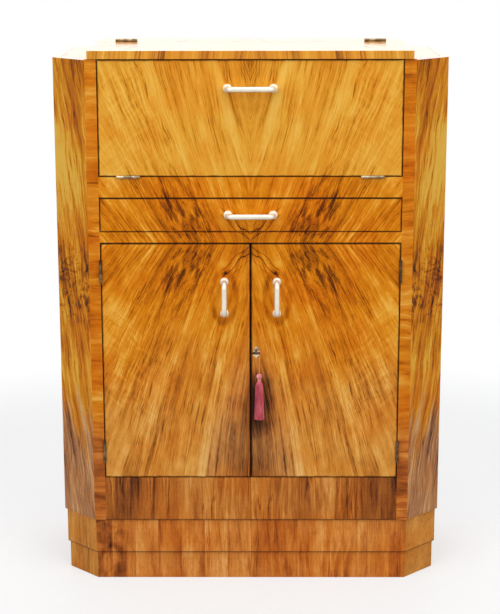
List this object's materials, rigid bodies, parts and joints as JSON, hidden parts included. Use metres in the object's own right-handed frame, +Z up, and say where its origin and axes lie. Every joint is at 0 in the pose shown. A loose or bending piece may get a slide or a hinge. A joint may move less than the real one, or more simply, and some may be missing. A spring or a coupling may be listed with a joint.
{
  "type": "bar cabinet",
  "caption": "Canted walnut cocktail cabinet with lifting lid, drop-front flap, drawer, a pair of doors and a stepped plinth.",
  "frame": {"origin": "on the floor, under the middle of the space the cabinet takes with its handles", "axes": "+Z up, +Y towards the back, +X towards the right-hand side seen from the front"},
  "size_m": [0.8734, 0.409, 1.2242],
  "materials": {
    "figured_walnut": "book-matched figured walnut veneer under a high polish",
    "crossbanded_walnut": "cross-grained walnut banding under a high polish",
    "carcass_timber": "plain stained timber",
    "drawer_timber": "plain pale timber",
    "silvered_glass": "silvered mirror glass",
    "aged_brass": "dull aged brass",
    "pale_brass": "pale worn brass",
    "polished_plate": "bright polished plate",
    "silk": "faded rose silk"
  },
  "bodies": {
    "cabinet": {"plinth_lower_front": "crossbanded_walnut", "plinth_lower_cants": "crossbanded_walnut", "plinth_lower_sides": "crossbanded_walnut", "plinth_upper_front": "crossbanded_walnut", "plinth_upper_cants": "crossbanded_walnut", "plinth_upper_sides": "crossbanded_walnut", "plinth_backs": "carcass_timber", "base_board": "carcass_timber", "left_stile": "crossbanded_walnut", "right_stile": "crossbanded_walnut", "left_canted_panel": "figured_walnut", "right_canted_panel": "figured_walnut", "outer_sides": "figured_walnut", "inner_sides": "carcass_timber", "wing_tops": "figured_walnut", "back_panel": "carcass_timber", "apron": "figured_walnut", "drawer_rail": "figured_walnut", "flap_rail": "figured_walnut", "cupboard_floor": "carcass_timber", "dust_board": "carcass_timber", "compartment_floor": "carcass_timber", "compartment_mirror": "silvered_glass", "cupboard_shelf": "carcass_timber", "shelf_battens": "carcass_timber", "drawer_runners": "carcass_timber", "rear_top_strip": "figured_walnut", "stop_blocks": "carcass_timber", "flap_hinge_rail_leaves": "aged_brass", "lid_hinge_strip_leaves": "aged_brass", "door_hinge_stile_leaves": "aged_brass", "hinge_pins": "aged_brass", "stay_guides": "aged_brass"},
    "lid": {"lid_panel": "figured_walnut", "lid_hinge_leaves": "aged_brass", "lid_stays": "aged_brass"},
    "flap": {"flap_panel": "figured_walnut", "flap_handle": "polished_plate", "flap_hinge_leaves": "aged_brass", "flap_stays": "aged_brass"},
    "drawer": {"drawer_front": "figured_walnut", "drawer_sides": "drawer_timber", "drawer_back": "drawer_timber", "drawer_bottom": "drawer_timber", "drawer_handle": "polished_plate"},
    "left_door": {"left_door_panel": "figured_walnut", "left_door_handle": "polished_plate", "left_door_hinge_leaves": "aged_brass", "lock_keep": "aged_brass", "door_bolt_case": "aged_brass"},
    "left_door_bolt": {"door_bolt_rod": "aged_brass"},
    "right_door": {"right_door_panel": "figured_walnut", "right_door_handle": "polished_plate", "right_door_hinge_leaves": "aged_brass", "escutcheon": "pale_brass", "lock_case": "aged_brass"},
    "lock_bolt": {"lock_bolt": "aged_brass"},
    "key": {"key": "pale_brass"},
    "tassel": {"tassel": "silk", "tassel_cord": "silk"}
  },
  "joints": [
    {"name": "lid_hinge", "type": "hinge", "parent": "cabinet", "child": "lid", "pos_m": [0, 0.0885, 1.221], "axis": [-1, 0, 0], "range_deg": [0, 95]},
    {"name": "flap_hinge", "type": "hinge", "parent": "cabinet", "child": "flap", "pos_m": [0, -0.1755, 0.943], "axis": [1, 0, 0], "range_deg": [0, 90]},
    {"name": "drawer_slide", "type": "slide", "parent": "cabinet", "child": "drawer", "axis": [0, -1, 0], "range_m": [0, 0.24]},
    {"name": "left_door_hinge", "type": "hinge", "parent": "cabinet", "child": "left_door", "pos_m": [-0.333, -0.1755, 0.522], "axis": [0, 0, -1], "range_deg": [0, 170]},
    {"name": "right_door_hinge", "type": "hinge", "parent": "cabinet", "child": "right_door", "pos_m": [0.333, -0.1755, 0.522], "axis": [0, 0, 1], "range_deg": [0, 170]},
    {"name": "left_door_bolt_slide", "type": "slide", "parent": "left_door", "child": "left_door_bolt", "axis": [0, 0, 1], "range_m": [0, 0.01]},
    {"name": "key_turn", "type": "hinge", "parent": "right_door", "child": "key", "pos_m": [0.012, -0.1905, 0.548], "axis": [0, 1, 0], "range_deg": [0, 180]},
    {"name": "lock_bolt_slide", "type": "slide", "parent": "right_door", "child": "lock_bolt", "axis": [-1, 0, 0], "range_m": [0, 0.0081]},
    {"name": "tassel_swing", "type": "hinge", "parent": "key", "child": "tassel", "pos_m": [0.01925, -0.1905, 0.548], "axis": [0, 1, 0], "range_deg": [-180, 0]}
  ],
  "couplings": [
    {"joint": "lock_bolt_slide", "follows": "key_turn", "m_per_rad": 0.0025465},
    {"joint": "tassel_swing", "follows": "key_turn", "ratio": -1}
  ]
}
